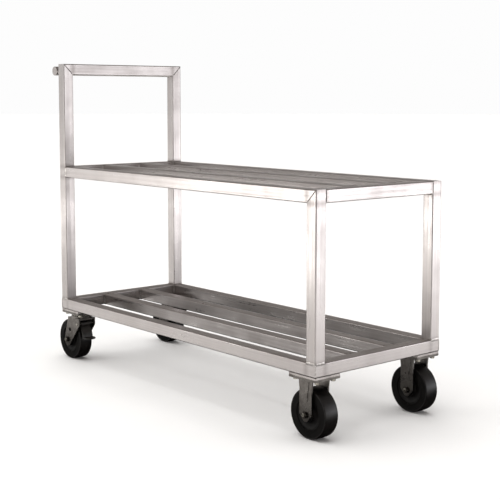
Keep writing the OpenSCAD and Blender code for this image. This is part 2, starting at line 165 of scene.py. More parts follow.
floorMaterial, tree = newMaterial("paintedStudioFloor")  # matt emulsion: pale, even, no shine
coords = addNode(tree, "ShaderNodeTexCoord")
mottle = addNode(tree, "ShaderNodeTexNoise", {"Scale": 1 / studio["floorCloudSize"], "Detail": 3.0},
                 {"Vector": coords.outputs["Object"]})
tone = addNode(tree, "ShaderNodeValToRGB", links={"Fac": mottle.outputs["Fac"]})
setRamp(tone, [(0.3, linear(studio["floorCloud"])), (0.7, linear(studio["floorColour"]))])
shader = addNode(tree, "ShaderNodeBsdfPrincipled", {"Roughness": 0.9, "Specular IOR Level": 0.15},
                 {"Base Color": tone.outputs["Color"]})
addNode(tree, "ShaderNodeOutputMaterial", links={"Surface": shader.outputs["BSDF"]})

floorShape = bmesh.new()
bmesh.ops.create_circle(floorShape, cap_ends=True, segments=studio["floorSegments"],
                        radius=studio["floorRadius"])
floorMesh = bpy.data.meshes.new("studioFloor")
floorShape.to_mesh(floorMesh)
floorShape.free()
floorMesh.materials.append(floorMaterial)
floor = bpy.data.objects.new("studioFloor", floorMesh)
bpy.context.scene.collection.objects.link(floor)

clothMaterial, tree = newMaterial("blackMoltonCloth")  # black molton: no shine at all
shader = addNode(tree, "ShaderNodeBsdfPrincipled",
                 {"Base Color": linear(cloth["colour"]), "Roughness": 1.0, "Specular IOR Level": 0.0})
addNode(tree, "ShaderNodeOutputMaterial", links={"Surface": shader.outputs["BSDF"]})


def hangCloth(name, shape):
    mesh = bpy.data.meshes.new(name)
    shape.to_mesh(mesh)
    shape.free()
    mesh.materials.append(clothMaterial)
    sheet = bpy.data.objects.new(name, mesh)
    bpy.context.scene.collection.objects.link(sheet)
    for ray in ("camera", "diffuse", "shadow", "transmission"):
        setattr(sheet, "visible_" + ray, False)


for clothName, ((lowX, lowY), (highX, highY)) in flatCloths.items():
    shape = bmesh.new()
    bmesh.ops.create_grid(shape, x_segments=1, y_segments=1, size=0.5)
    bmesh.ops.scale(shape, verts=shape.verts, vec=(highX - lowX, highY - lowY, 1))
    bmesh.ops.translate(shape, verts=shape.verts,
                        vec=((highX + lowX) / 2, (highY + lowY) / 2, cloth["height"]))
    hangCloth(clothName, shape)
for clothName, (startAngle, endAngle) in screens.items():
    shape = bmesh.new()
    start = math.radians(startAngle)
    foot = cloth["arcRadius"] * Vector((math.cos(start), math.sin(start), 0))
    upright = [shape.verts.new(foot), shape.verts.new(foot + up * cloth["screenHeight"])]
    bmesh.ops.spin(shape, geom=upright + [shape.edges.new(upright)], cent=(0, 0, 0), axis=(0, 0, 1),
                   angle=math.radians(endAngle - startAngle), steps=cloth["arcSteps"])
    hangCloth(clothName, shape)

world = bpy.data.worlds.new("softStudio")
world.use_nodes = True
bpy.context.scene.world = world
tree = world.node_tree
tree.nodes.clear()
coords = addNode(tree, "ShaderNodeTexCoord")
height = addNode(tree, "ShaderNodeSeparateXYZ", links={"Vector": coords.outputs["Generated"]})
sky = addNode(tree, "ShaderNodeValToRGB", links={"Fac": height.outputs["Z"]})
setRamp(sky, [(stop, linear(colour)) for stop, colour in studio["backdrop"]])
backdrop = addNode(tree, "ShaderNodeBackground", {"Strength": 1.0}, {"Color": sky.outputs["Color"]})
addNode(tree, "ShaderNodeOutputWorld", links={"Surface": backdrop.outputs["Background"]})


def placeLight(name, lamp, position, turn):
    light = bpy.data.objects.new(name, lamp)
    light.location = position
    light.rotation_euler = turn
    light.visible_camera = False
    bpy.context.scene.collection.objects.link(light)


for boxName, box in softBoxes.items():
    lamp = bpy.data.lights.new(boxName, "AREA")
    lamp.shape = "RECTANGLE"
    lamp.size, lamp.size_y = box["size"]
    lamp.color = box["colour"]
    lamp.energy = box["glow"] * math.pi * lamp.size * lamp.size_y
    facing = Vector(box["aim"]) - Vector(box["place"])
    placeLight(boxName, lamp, box["place"], facing.to_track_quat("-Z", "Y").to_euler())
lamp = bpy.data.lights.new("ceilingLight", "SUN")
lamp.energy = studio["sunPower"]
lamp.angle = math.radians(studio["sunAngle"])
placeLight("ceilingLight", lamp, (0, 0, studio["sunHeight"]),
           [math.radians(angle) for angle in studio["sunTilt"]] + [0])
bpy.data.objects["ceilingLight"].visible_glossy = False
print("camera, floor and light set")


# ---- materials

# 6063 aluminium as it leaves the extrusion die: pale and satin, with die lines along the tube, soft
# cloudy stains from storage, a few handling scratches, and a dull band where the welds heated it
extrusion = {
    "pale": "#b8b3b1",
    "grey": "#ada7a5",
    "heated": "#8b8481",
    "roughness": (0.26, 0.46),
    "toneSpan": (0.36, 0.58),  # the part of the mottle that goes from grey to pale
    "glossSpan": (0.34, 0.62),
    "dieLine": 1.2 * mm,
    "streak": 4 * mm,  # real streaks are 1 to 3 mm, drawn wider so that they show
    "streakLength": 420 * mm,
    "streakShare": 0.55,
    "cloud": 110 * mm,
    "cloudShare": 0.45,
    "scuffScale": (900, 60, 240),  # per metre: fine, long scratches
    "scuffTurn": (0.5, 0.3, 0.9),
    "scuffSpan": (0.68, 0.76),
    "scuffGloss": 0.10,
    "scuffDepth": 0.6,
    "heatBand": 16 * mm,
    "heatWander": 20 * mm,
    "heatEdge": 12 * mm,
    "heatShare": 0.55,
    "heatGloss": 0.16,
    "swirl": 26 * mm,
    "swirlLines": 60.0,
    "swirlEdge": 40 * mm,
    "swirlHeight": 0.5,
    "swirlGloss": 0.07,
    "lineDepth": 0.02 * mm,
    "relief": 0.6,
}


def extrudedAluminium(name, axis, jointPlaces, sanded=None):
    # jointPlaces are where welds cross the tube, along its axis; sanded is how far from the
    # middle the tube was gone over with an orbital sander
    material, tree = newMaterial(name)
    coords = addNode(tree, "ShaderNodeTexCoord").outputs["Object"]
    index = "XYZ".index(axis)

    def stretched(width, length):
        scale = [1 / width] * 3
        scale[index] = 1 / length
        return addNode(tree, "ShaderNodeMapping", {"Scale": scale}, {"Vector": coords}).outputs["Vector"]

    streaks = addNode(tree, "ShaderNodeTexNoise", {"Scale": 1.0, "Detail": 3.0, "Roughness": 0.6},
                      {"Vector": stretched(extrusion["streak"], extrusion["streakLength"])})
    lines = addNode(tree, "ShaderNodeTexNoise", {"Scale": 1.0, "Detail": 2.0, "Roughness": 0.7},
                    {"Vector": stretched(extrusion["dieLine"], extrusion["streakLength"])})
    clouds = addNode(tree, "ShaderNodeTexNoise",
                     {"Scale": 1 / extrusion["cloud"], "Detail": 4.0, "Roughness": 0.55},
                     {"Vector": coords})
    scuffGrid = addNode(tree, "ShaderNodeMapping",
                        {"Scale": extrusion["scuffScale"], "Rotation": extrusion["scuffTurn"]},
                        {"Vector": coords})
    scuffs = addNode(tree, "ShaderNodeTexNoise", {"Scale": 1.0, "Detail": 1.0, "Distortion": 0.4},
                     {"Vector": scuffGrid.outputs["Vector"]})
    scuffMask = addNode(tree, "ShaderNodeMapRange",
                        {"From Min": extrusion["scuffSpan"][0], "From Max": extrusion["scuffSpan"][1]},
                        {"Value": scuffs.outputs["Fac"]})

    along = addNode(tree, "ShaderNodeSeparateXYZ", links={"Vector": coords}).outputs[axis]
    heat = None  # how close the nearest weld is
    for jointPlace in jointPlaces:
        offset = addNode(tree, "ShaderNodeMath", {"operation": "SUBTRACT", 1: jointPlace}, {0: along})
        distance = addNode(tree, "ShaderNodeMath", {"operation": "ABSOLUTE"}, {0: offset.outputs["Value"]})
        if heat is None:
            heat = distance
        else:
            heat = addNode(tree, "ShaderNodeMath", {"operation": "MINIMUM"},
                           {0: heat.outputs["Value"], 1: distance.outputs["Value"]})
    wander = addNode(tree, "ShaderNodeMath", {"operation": "MULTIPLY_ADD", 1: -extrusion["heatWander"]},
                     {0: clouds.outputs["Fac"], 2: heat.outputs["Value"]})
    heatMask = addNode(tree, "ShaderNodeMapRange",
                       {"From Min": extrusion["heatBand"] - extrusion["heatEdge"],
                        "From Max": -extrusion["heatEdge"], "To Max": extrusion["heatShare"]},
                       {"Value": wander.outputs["Value"]})

    cloudPart = addNode(tree, "ShaderNodeMath", {"operation": "MULTIPLY", 1: extrusion["cloudShare"]},
                        {0: clouds.outputs["Fac"]})
    mottled = addNode(tree, "ShaderNodeMath",
                      {"operation": "MULTIPLY_ADD", 1: extrusion["streakShare"]},
                      {0: streaks.outputs["Fac"], 2: cloudPart.outputs["Value"]})
    colour = addNode(tree, "ShaderNodeValToRGB", links={"Fac": mottled.outputs["Value"]})
    setRamp(colour, [(extrusion["toneSpan"][0], linear(extrusion["grey"])),
                     (extrusion["toneSpan"][1], linear(extrusion["pale"]))])
    heated = addNode(tree, "ShaderNodeMix", {"data_type": "RGBA", 7: linear(extrusion["heated"])},
                     {0: heatMask.outputs["Result"], 6: colour.outputs["Color"]})
    gloss = addNode(tree, "ShaderNodeMapRange",
                    {"From Min": extrusion["glossSpan"][0], "From Max": extrusion["glossSpan"][1],
                     "To Min": extrusion["roughness"][1], "To Max": extrusion["roughness"][0]},
                    {"Value": mottled.outputs["Value"]})
    gloss = addNode(tree, "ShaderNodeMath", {"operation": "MULTIPLY_ADD", 1: extrusion["heatGloss"]},
                    {0: heatMask.outputs["Result"], 2: gloss.outputs["Result"]})
    gloss = addNode(tree, "ShaderNodeMath", {"operation": "MULTIPLY_ADD", 1: extrusion["scuffGloss"]},
                    {0: scuffMask.outputs["Result"], 2: gloss.outputs["Value"]})
    height = addNode(tree, "ShaderNodeMath", {"operation": "MULTIPLY_ADD", 1: -extrusion["scuffDepth"]},
                     {0: scuffMask.outputs["Result"], 2: lines.outputs["Fac"]})
    if sanded is not None:
        cells = addNode(tree, "ShaderNodeTexVoronoi", {"Scale": 1 / extrusion["swirl"]},
                        {"Vector": coords})
        rings = addNode(tree, "ShaderNodeMath", {"operation": "MULTIPLY", 1: extrusion["swirlLines"]},
                        {0: cells.outputs["Distance"]})
        arcs = addNode(tree, "ShaderNodeMath", {"operation": "SINE"}, {0: rings.outputs["Value"]})
        fromMiddle = addNode(tree, "ShaderNodeMath", {"operation": "ABSOLUTE"}, {0: along})
        reach = addNode(tree, "ShaderNodeMapRange",
                        {"From Min": sanded - extrusion["swirlEdge"],
                         "From Max": sanded + extrusion["swirlEdge"]},
                        {"Value": fromMiddle.outputs["Value"]})
        swirls = addNode(tree, "ShaderNodeMath", {"operation": "MULTIPLY"},
                         {0: arcs.outputs["Value"], 1: reach.outputs["Result"]})
        height = addNode(tree, "ShaderNodeMath",
                         {"operation": "MULTIPLY_ADD", 1: extrusion["swirlHeight"]},
                         {0: swirls.outputs["Value"], 2: height.outputs["Value"]})
        gloss = addNode(tree, "ShaderNodeMath",
                        {"operation": "MULTIPLY_ADD", 1: extrusion["swirlGloss"]},
                        {0: swirls.outputs["Value"], 2: gloss.outputs["Value"]})
    relief = addNode(tree, "ShaderNodeBump",
                     {"Strength": extrusion["relief"], "Distance": extrusion["lineDepth"]},
                     {"Height": height.outputs["Value"]})
    shader = addNode(tree, "ShaderNodeBsdfPrincipled", {"Metallic": 1.0},
                     {"Base Color": heated.outputs[2], "Roughness": gloss.outputs["Value"],
                      "Normal": relief.outputs["Normal"]})
    addNode(tree, "ShaderNodeOutputMaterial", links={"Surface": shader.outputs["BSDF"]})
    return material


crossingsX = [place["rearX"] + place["tube"], place["frontX"] - place["tube"]]
crossingsY = [-place["halfWidth"] + place["tube"], place["halfWidth"] - place["tube"]]
crossingsZ = [place["lowerTop"], place["upperBottom"], place["upperTop"]]
alongX = extrudedAluminium("millExtrusionAlongX", "X", crossingsX)
alongY = extrudedAluminium("millExtrusionAlongY", "Y", crossingsY)
sandedY = extrudedAluminium("sandedExtrusionAlongY", "Y", crossingsY, sanded=190 * mm)
alongZ = extrudedAluminium("millExtrusionAlongZ", "Z", crossingsZ)
tubeFinish = {
    "lower_side_rail": alongX, "upper_side_rail": alongX, "deck_bar": alongX,
    "front_post": alongZ, "handle_post": alongZ,
    "lower_end_rail_front": sandedY, "end_rail": alongY,
    "handle_top_rail": alongY, "push_handle": alongY,
}
for nodeName, node in nodes.items():
    for part, finish in tubeFinish.items():
        if part in nodeName:
            node.data.materials.clear()
            node.data.materials.append(finish)
            break


# One recipe for the finishes that differ in numbers only: two colours, a cloud, a fine grain,
# worn edges and a little relief. worn is the colour that shows on the bevels.
recipe = {"grainShare": 0.25, "cloudShare": 0.75, "toneSpan": (0.38, 0.62), "glossSpan": (0.35, 0.65),
          "chipEdge": 0.06, "relief": 0.7}


def finishedSurface(name, spec):
    material, tree = newMaterial(name)
    coords = addNode(tree, "ShaderNodeTexCoord").outputs["Object"]
    clouds = addNode(tree, "ShaderNodeTexNoise",
                     {"Scale": 1 / spec["cloud"], "Detail": 4.0, "Roughness": 0.6}, {"Vector": coords})
    grain = addNode(tree, "ShaderNodeTexNoise", {"Scale": 1 / spec["grain"], "Detail": 2.0},
                    {"Vector": coords})
    cloudPart = addNode(tree, "ShaderNodeMath", {"operation": "MULTIPLY", 1: recipe["cloudShare"]},
                        {0: clouds.outputs["Fac"]})
    mixed = addNode(tree, "ShaderNodeMath", {"operation": "MULTIPLY_ADD", 1: recipe["grainShare"]},
                    {0: grain.outputs["Fac"], 2: cloudPart.outputs["Value"]})
    colour = addNode(tree, "ShaderNodeValToRGB", links={"Fac": mixed.outputs["Value"]})
    setRamp(colour, [(recipe["toneSpan"][0], linear(spec["dark"])),
                     (recipe["toneSpan"][1], linear(spec["pale"]))])
    tint = colour.outputs["Color"]
    gloss = addNode(tree, "ShaderNodeMapRange",
                    {"From Min": recipe["glossSpan"][0], "From Max": recipe["glossSpan"][1],
                     "To Min": spec["roughness"][1], "To Max": spec["roughness"][0]},
                    {"Value": mixed.outputs["Value"]})
    sockets = {"Roughness": gloss.outputs["Result"]}
    if "worn" in spec:
        edge = addNode(tree, "ShaderNodeAttribute", {"attribute_name": "edgeWear"})
        chips = addNode(tree, "ShaderNodeMapRange",
                        {"From Min": spec["chipped"], "From Max": spec["chipped"] + recipe["chipEdge"]},
                        {"Value": clouds.outputs["Fac"]})
        bare = addNode(tree, "ShaderNodeMath", {"operation": "MULTIPLY"},
                       {0: edge.outputs["Fac"], 1: chips.outputs["Result"]})
        tint = addNode(tree, "ShaderNodeMix", {"data_type": "RGBA", 7: linear(spec["worn"])},
                       {0: bare.outputs["Value"], 6: tint}).outputs[2]
        if spec["metallic"] < 1:
            sockets["Metallic"] = bare.outputs["Value"]
    sockets["Base Color"] = tint
    relief = addNode(tree, "ShaderNodeBump", {"Strength": recipe["relief"], "Distance": spec["depth"]},
                     {"Height": grain.outputs["Fac"]})
    sockets["Normal"] = relief.outputs["Normal"]
    constants = {"Metallic": spec["metallic"]}
    constants.update(spec.get("constants", {}))
    shader = addNode(tree, "ShaderNodeBsdfPrincipled", constants, sockets)
    addNode(tree, "ShaderNodeOutputMaterial", links={"Surface": shader.outputs["BSDF"]})
    return material


# aluminium laid by a TIG torch: brighter than the tube, frosty, with grey oxide in the valleys
weldMetal = finishedSurface("tigWeldAluminium", {
    "dark": "#96918e", "pale": "#c9c5c2", "roughness": (0.3, 0.46), "metallic": 1.0,
    "cloud": 9 * mm, "grain": 0.9 * mm, "depth": 0.05 * mm})
# a weld ground flush along a mitre: dull and darker than the faces, so that the joint reads as a line
groundWeld = finishedSurface("groundWeldAluminium", {
    "dark": "#4b4744", "pale": "#6b6663", "roughness": (0.42, 0.6), "metallic": 1.0,
    "cloud": 14 * mm, "grain": 0.7 * mm, "depth": 0.04 * mm})
# aluminium plate, sheared and drilled: the tube's colour, with a rolled and less even face
platePad = finishedSurface("rolledAluminiumPlate", {
    "dark": "#a09a97", "pale": "#b8b2af", "roughness": (0.32, 0.48), "metallic": 1.0,
    "cloud": 40 * mm, "grain": 1.1 * mm, "depth": 0.03 * mm,
    "worn": "#d8d5d2", "chipped": 0.35})
# pressed steel with bright zinc plating, which is pale blue-grey; here its colour is darkened to a painted
# shade for the shade under the deck, with a soft shine, cloudy where it hung in the bath
zincSheetPaintedShade = finishedSurface("zincPlatedPressingPaintedShade", {
    "dark": "#5d5955", "pale": "#787470", "roughness": (0.24, 0.4), "metallic": 1.0,
    "cloud": 22 * mm, "grain": 1.0 * mm, "depth": 0.03 * mm,
    "worn": "#b8b5b1", "chipped": 0.42})
# small turned and forged steel parts, barrel plated: a warmer and glossier zinc
zincFastener = finishedSurface("barrelPlatedSteel", {
    "dark": "#8d897f", "pale": "#b9b5aa", "roughness": (0.2, 0.36), "metallic": 1.0,
    "cloud": 7 * mm, "grain": 0.8 * mm, "depth": 0.02 * mm,
    "worn": "#dddad2", "chipped": 0.4})
# lock nuts with dull plating, their colour darkened to a painted shade for the shade on their hex sides
nutPaintedShade = finishedSurface("lockNutPaintedShade", {
    "dark": "#2d2a27", "pale": "#4d4944", "roughness": (0.36, 0.52), "metallic": 1.0,
    "cloud": 7 * mm, "grain": 0.8 * mm, "depth": 0.03 * mm,
    "worn": "#8e8a83", "chipped": 0.5})
# hardened and ground bearing steel under a film of grease
bearingSteel = finishedSurface("greasedBearingSteel", {
    "dark": "#8c8472", "pale": "#c9c7c0", "roughness": (0.1, 0.22), "metallic": 1.0,
    "cloud": 6 * mm, "grain": 0.8 * mm, "depth": 0.01 * mm})
# glass-filled nylon, moulded: near black, matt, with flow marks
mouldedNylon = finishedSurface("mouldedBlackNylon", {
    "dark": "#0a0909", "pale": "#141210", "roughness": (0.45, 0.6), "metallic": 0.0,
    "cloud": 18 * mm, "grain": 0.9 * mm, "depth": 0.05 * mm,
    "constants": {"Specular IOR Level": 0.15}})
# black powder coat on pressed steel: brown-black, orange peel, chipped to steel along the edges
powderCoat = finishedSurface("blackPowderCoat", {
    "dark": "#171512", "pale": "#27231f", "roughness": (0.34, 0.5), "metallic": 0.0,
    "cloud": 12 * mm, "grain": 1.6 * mm, "depth": 0.08 * mm,
    "worn": "#a9a7a2", "chipped": 0.5})

# Moulded black rubber: deep black on the sides, polished by rolling on the tread, whose colour is a little
# lighter and browner, partly dust and partly a painted sheen. The tread attribute is 1 on the rolling band
# and 0 on the sides.
tyre = {
    "side": "#090807", "sideDusty": "#12100e", "sideSpan": (0.42, 0.72),
    # the tread's two colours carry a painted brown sheen as well as dust
    "tread": "#0c0b0a", "treadDusty": "#181412", "treadSpan": (0.4, 0.68),
    "sideRoughness": 0.5, "treadRoughness": 0.26, "dustGloss": 0.22,
    "sideShine": 0.12, "treadShine": 0.32,
    "grit": 1.4 * mm, "dustAndSheen": 24 * mm, "depth": 0.1 * mm, "relief": 0.5,
}
rollingRubber, tree = newMaterial("mouldedTyreRubber")
coords = addNode(tree, "ShaderNodeTexCoord").outputs["Object"]
dustAndSheen = addNode(tree, "ShaderNodeTexNoise", {"Scale": 1 / tyre["dustAndSheen"], "Detail": 5.0, "Roughness": 0.65},
               {"Vector": coords})
grit = addNode(tree, "ShaderNodeTexNoise", {"Scale": 1 / tyre["grit"], "Detail": 2.0}, {"Vector": coords})
tread = addNode(tree, "ShaderNodeAttribute", {"attribute_name": "tread"})
tones = {}
for band in ("side", "tread"):
    tones[band] = addNode(tree, "ShaderNodeValToRGB", links={"Fac": dustAndSheen.outputs["Fac"]})
    setRamp(tones[band], [(tyre[band + "Span"][0], linear(tyre[band])),
                          (tyre[band + "Span"][1], linear(tyre[band + "Dusty"]))])
# side and tread colours mixed; the tread's colour holds a painted sheen
rubberToneAndSheen = addNode(tree, "ShaderNodeMix", {"data_type": "RGBA"},
                     {0: tread.outputs["Fac"], 6: tones["side"].outputs["Color"],
                      7: tones["tread"].outputs["Color"]})
rolled = addNode(tree, "ShaderNodeMapRange",
                 {"To Min": tyre["sideRoughness"], "To Max": tyre["treadRoughness"]},
                 {"Value": tread.outputs["Fac"]})
rubberGloss = addNode(tree, "ShaderNodeMath", {"operation": "MULTIPLY_ADD", 1: tyre["dustGloss"]},
                      {0: dustAndSheen.outputs["Fac"], 2: rolled.outputs["Result"]})
rubberRelief = addNode(tree, "ShaderNodeBump", {"Strength": tyre["relief"], "Distance": tyre["depth"]},
                       {"Height": grit.outputs["Fac"]})
rubberShine = addNode(tree, "ShaderNodeMapRange",
                      {"To Min": tyre["sideShine"], "To Max": tyre["treadShine"]},
                      {"Value": tread.outputs["Fac"]})
shader = addNode(tree, "ShaderNodeBsdfPrincipled", {},
                 {"Base Color": rubberToneAndSheen.outputs[2], "Roughness": rubberGloss.outputs["Value"],
                  "Specular IOR Level": rubberShine.outputs["Result"],
                  "Normal": rubberRelief.outputs["Normal"]})
addNode(tree, "ShaderNodeOutputMaterial", links={"Surface": shader.outputs["BSDF"]})
print("materials made:", len(bpy.data.materials))


# ---- making pieces

def makePiece(name, shape, material, body, replaced=(), sharpAngle=40):
    mesh = bpy.data.meshes.new(name)
    shape.to_mesh(mesh)
    shape.free()
    mesh.materials.append(material)
    for face in mesh.polygons:
        face.use_smooth = True
    mesh.set_sharp_from_angle(angle=math.radians(sharpAngle))
    piece = bpy.data.objects.new(name, mesh)
    bpy.context.scene.collection.objects.link(piece)
    shading = piece.modifiers.new("evenShading", "WEIGHTED_NORMAL")
    shading.keep_sharp = True
    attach(piece, body)
    if replaced:
        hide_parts(*replaced)
    return piece


def addShape(target, shape):  # moves what one bmesh holds into another
    mesh = bpy.data.meshes.new("loose")
    shape.to_mesh(mesh)
    shape.free()
    target.from_mesh(mesh)
    bpy.data.meshes.remove(mesh)


softening = {"merge": 0.002 * mm, "flat": 0.5}  # flat: degrees under which two faces are one


# a copy of a fixed node with its corners rounded, as pressed, sheared or moulded parts have them
def softEdged(name, nodeName, width, material, body, corner=28, segments=2):
    shape = bmesh.new()
    shape.from_mesh(nodes[nodeName].data)
    wear = shape.loops.layers.float.new("edgeWear")
    bmesh.ops.remove_doubles(shape, verts=shape.verts, dist=softening["merge"])
    bmesh.ops.dissolve_limit(shape, angle_limit=math.radians(softening["flat"]), verts=shape.verts,
                             edges=shape.edges)
    corners = [edge for edge in shape.edges
               if edge.is_manifold and edge.calc_face_angle() > math.radians(corner)]
    rounded = bmesh.ops.bevel(shape, geom=corners, offset=width, offset_type="OFFSET", affect="EDGES",
                              segments=segments, profile=0.5, material=-1, clamp_overlap=True)
    for face in rounded["faces"]:
        for loop in face.loops:
            loop[wear] = 1.0
    return makePiece(name, shape, material, body, [nodeName])


# ---- tyres and cores, spun round their axles

tyreShape = {
    "crown": 200 * mm,  # radius across the tread
    "shoulder": 2.2 * mm,
    "shoulderTurn": 88,  # degrees at which the shoulder's arc leaves the side
    "shoulderRise": 0.6 * mm,
    "shoulderSteps": 7,
    "crownTurn": 1.2,
    "crownSteps": 9,
    "lip": 0.6 * mm,  # how far the bead round the core stands out of the side
    "lipWidth": 2.6 * mm,
    "lipFall": 0.7 * mm,
    "lipEdge": (0.5 * mm, 0.1 * mm),
    "seat": 3.2 * mm,  # how deep the bead reaches along the core
    "dish": 0.7 * mm,  # how far the side is hollowed between the lip and the shoulder
    "dishSpan": (8 * mm, 4 * mm),
    "dishOuter": 0.6,
    "rollingStart": 0.9,  # where the rolling band starts and how it fades in, in wheel radii
    "rollingFade": 0.05,
    "steps": 144,
}
merging = 0.01 * mm


def spunShape(points, axle, steps):
    # points are (radius, across) round the outline, which closes on itself
    shape = bmesh.new()
    outline = [shape.verts.new((radius, across, 0)) for radius, across in points]
    edges = [shape.edges.new((outline[i], outline[(i + 1) % len(outline)]))
             for i in range(len(outline))]
    bmesh.ops.spin(shape, geom=outline + edges, cent=(0, 0, 0), axis=(0, 1, 0), dvec=(0, 0, 0),
                   angle=2 * math.pi, steps=steps, use_merge=True, use_duplicate=False)
    bmesh.ops.remove_doubles(shape, verts=shape.verts, dist=merging)
    bmesh.ops.recalc_face_normals(shape, faces=shape.faces)
    bmesh.ops.translate(shape, verts=shape.verts, vec=axle)
    return shape


def arcPoints(centre, radius, startDegrees, endDegrees, count):
    angles = [math.radians(startDegrees + (endDegrees - startDegrees) * i / count)
              for i in range(count + 1)]
    return [(centre[0] + radius * math.cos(angle), centre[1] + radius * math.sin(angle))
            for angle in angles]


def tyreOutline(wheelRadius, halfWidth, boreRadius):
    crown, fillet, dish = tyreShape["crown"], tyreShape["shoulder"], tyreShape["dish"]
    lip, rise = tyreShape["lip"], tyreShape["shoulderRise"]
    crownCentre = (wheelRadius - crown, 0)
    # the shoulder's arc touches the side and the crown
    fromCrown = crown - fillet
    filletY = halfWidth - fillet
    filletR = crownCentre[0] + math.sqrt(fromCrown ** 2 - filletY ** 2)
    meet = math.degrees(math.atan2(filletY, filletR - crownCentre[0]))
    lipR = boreRadius + tyreShape["lipWidth"]
    edgeR, edgeDrop = tyreShape["lipEdge"]
    dishStart, dishEnd = tyreShape["dishSpan"]
    half = [(boreRadius, halfWidth - tyreShape["seat"]), (boreRadius, halfWidth - lip),
            (boreRadius + edgeR, halfWidth - edgeDrop), (lipR, halfWidth),
            (lipR + tyreShape["lipFall"], halfWidth - lip), (boreRadius + dishStart, halfWidth - dish),
            (filletR - dishEnd, halfWidth - dish * tyreShape["dishOuter"]),
            (filletR - rise, halfWidth)]
    half += arcPoints((filletR, filletY), fillet, tyreShape["shoulderTurn"], meet,
                      tyreShape["shoulderSteps"])
    half += arcPoints(crownCentre, crown, meet, tyreShape["crownTurn"], tyreShape["crownSteps"])[1:]
    half += [(wheelRadius, 0)]
    mirrored = [(radius, -across) for radius, across in reversed(half[:-1])]
    return half + mirrored


coreShape = {
    "rimHalf": 22.4 * mm,
    "rimInner": 42 * mm,
    "rimSlope": (0.5 * mm, 0.9 * mm),
    "rimFoot": 1.4 * mm,
    "webHalf": 20 * mm,
    "hub": 24.15 * mm,
    "hubCorner": (2.2 * mm, 0.9 * mm),
    "hubFoot": 1 * mm,
    "bore": 16.1 * mm,
    "boreChamfer": 0.8 * mm,
    "fillet": 2.5 * mm,
    # the ridge under the tyre's bead: (in from the rim, out of the rim)
    "ridge": ((2.4 * mm, 0.0), (1.4 * mm, 1.3 * mm), (0.3 * mm, 1.3 * mm), (0.0, 0.8 * mm)),
    "steps": 96,
}


def coreOutline(rimOuter, hubHalf):
    rimHalf, rimInner, webHalf = coreShape["rimHalf"], coreShape["rimInner"], coreShape["webHalf"]
    hub, bore, fillet = coreShape["hub"], coreShape["bore"], coreShape["fillet"]
    chamfer = coreShape["boreChamfer"]
    cornerIn, cornerDrop = coreShape["hubCorner"]
    slopeIn, slopeOut = coreShape["rimSlope"]
    half = [(bore, 0), (bore, hubHalf - chamfer), (bore + chamfer, hubHalf), (hub - cornerIn, hubHalf),
            (hub - cornerDrop, hubHalf - cornerDrop), (hub, webHalf + fillet + coreShape["hubFoot"]),
            (hub + 0.7 * fillet, webHalf + 0.35 * fillet), (hub + 1.6 * fillet, webHalf),
            (rimInner - 3.2 * fillet, webHalf), (rimInner - 1.5 * fillet, webHalf + 0.3 * fillet),
            (rimInner - slopeIn, webHalf + coreShape["rimFoot"]), (rimInner + slopeOut, rimHalf)]
    half += [(rimOuter - inset, rimHalf + proud) for inset, proud in coreShape["ridge"]]
    mirrored = [(radius, -across) for radius, across in reversed(half[1:])]
    return half + mirrored


for end in ("front", "rear"):
    for side in sides:
        wheel = f"{end}_{side}"
        tyreLow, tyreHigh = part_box("tyre_" + wheel)
        coreLow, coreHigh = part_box("wheel_core_" + wheel)
        axle = (tyreLow + tyreHigh) / 2
        wheelRadius = (tyreHigh.z - tyreLow.z) / 2
        boreRadius = (coreHigh.z - coreLow.z) / 2
        outline = tyreOutline(wheelRadius, (tyreHigh.y - tyreLow.y) / 2, boreRadius)
        shape = spunShape(outline, axle, tyreShape["steps"])
        rolling = shape.verts.layers.float.new("tread")
        for vert in shape.verts:
            radius = math.hypot(vert.co.x - axle.x, vert.co.z - axle.z)
            share = (radius / wheelRadius - tyreShape["rollingStart"]) / tyreShape["rollingFade"]
            vert[rolling] = min(1, max(0, share))
        makePiece(f"tyre_{wheel}_piece", shape, rollingRubber, "wheel_" + wheel,
                  ["tyre_" + wheel], 60)
        outline = coreOutline(boreRadius, (coreHigh.y - coreLow.y) / 2)
        makePiece(f"core_{wheel}_piece", spunShape(outline, axle, coreShape["steps"]), mouldedNylon,
                  "wheel_" + wheel, ["wheel_core_" + wheel], 45)
print("wheels made")


# ---- caster steel, pads and brakes with rounded corners

rounding = {"fork": 0.8 * mm, "plate": 0.8 * mm, "pad": 0.7 * mm, "pedal": 1.1 * mm,
            "small": 0.45 * mm}
# piece, node, rounding, material, body, slot: one of each to a side
sidePieces = (
    # the forks and the swivel plates take the zinc colour darkened to a painted shade
    ("rigidFork", "rigid_fork", "fork", zincSheetPaintedShade, "frame", "zinc_sheet"),
    ("swivelPlate", "swivel_plate", "plate", zincSheetPaintedShade, "frame", "zinc_sheet"),
    ("swivelFork", "swivel_fork", "fork", zincSheetPaintedShade, "swivel", "zinc_sheet"),
    ("brakePedal", "brake_pedal", "pedal", powderCoat, "brake", "brake_paint"),
    ("brakePin", "brake_pin", "small", zincFastener, "swivel", "zinc_fastener"),
    ("swivelAxleBolt", "swivel_axle_bolt", "small", zincFastener, "swivel", "zinc_fastener"),
    ("swivelAxleNut", "swivel_axle_nut", "small", nutPaintedShade, "swivel", "zinc_fastener"),
)
for side in sides:
    for pieceName, source, edge, finish, body, slotName in sidePieces:
        body = body if body == "frame" else f"{body}_{side}"
        softEdged(f"{pieceName}_{side}", f"{source}_{side}", rounding[edge], finish, body)
for pieceName, source, edge, finish, slotName in (
        ("casterPads", "caster_pads", "pad", platePad, "mill_aluminium"),
        ("casterBolts", "caster_bolts", "small", zincFastener, "zinc_fastener"),
        ("rigidAxleBolts", "rigid_axle_bolts", "small", zincFastener, "zinc_fastener"),
        ("rigidAxleNuts", "rigid_axle_nuts", "small", nutPaintedShade, "zinc_fastener")):
    softEdged(pieceName, source, rounding[edge], finish, "frame")
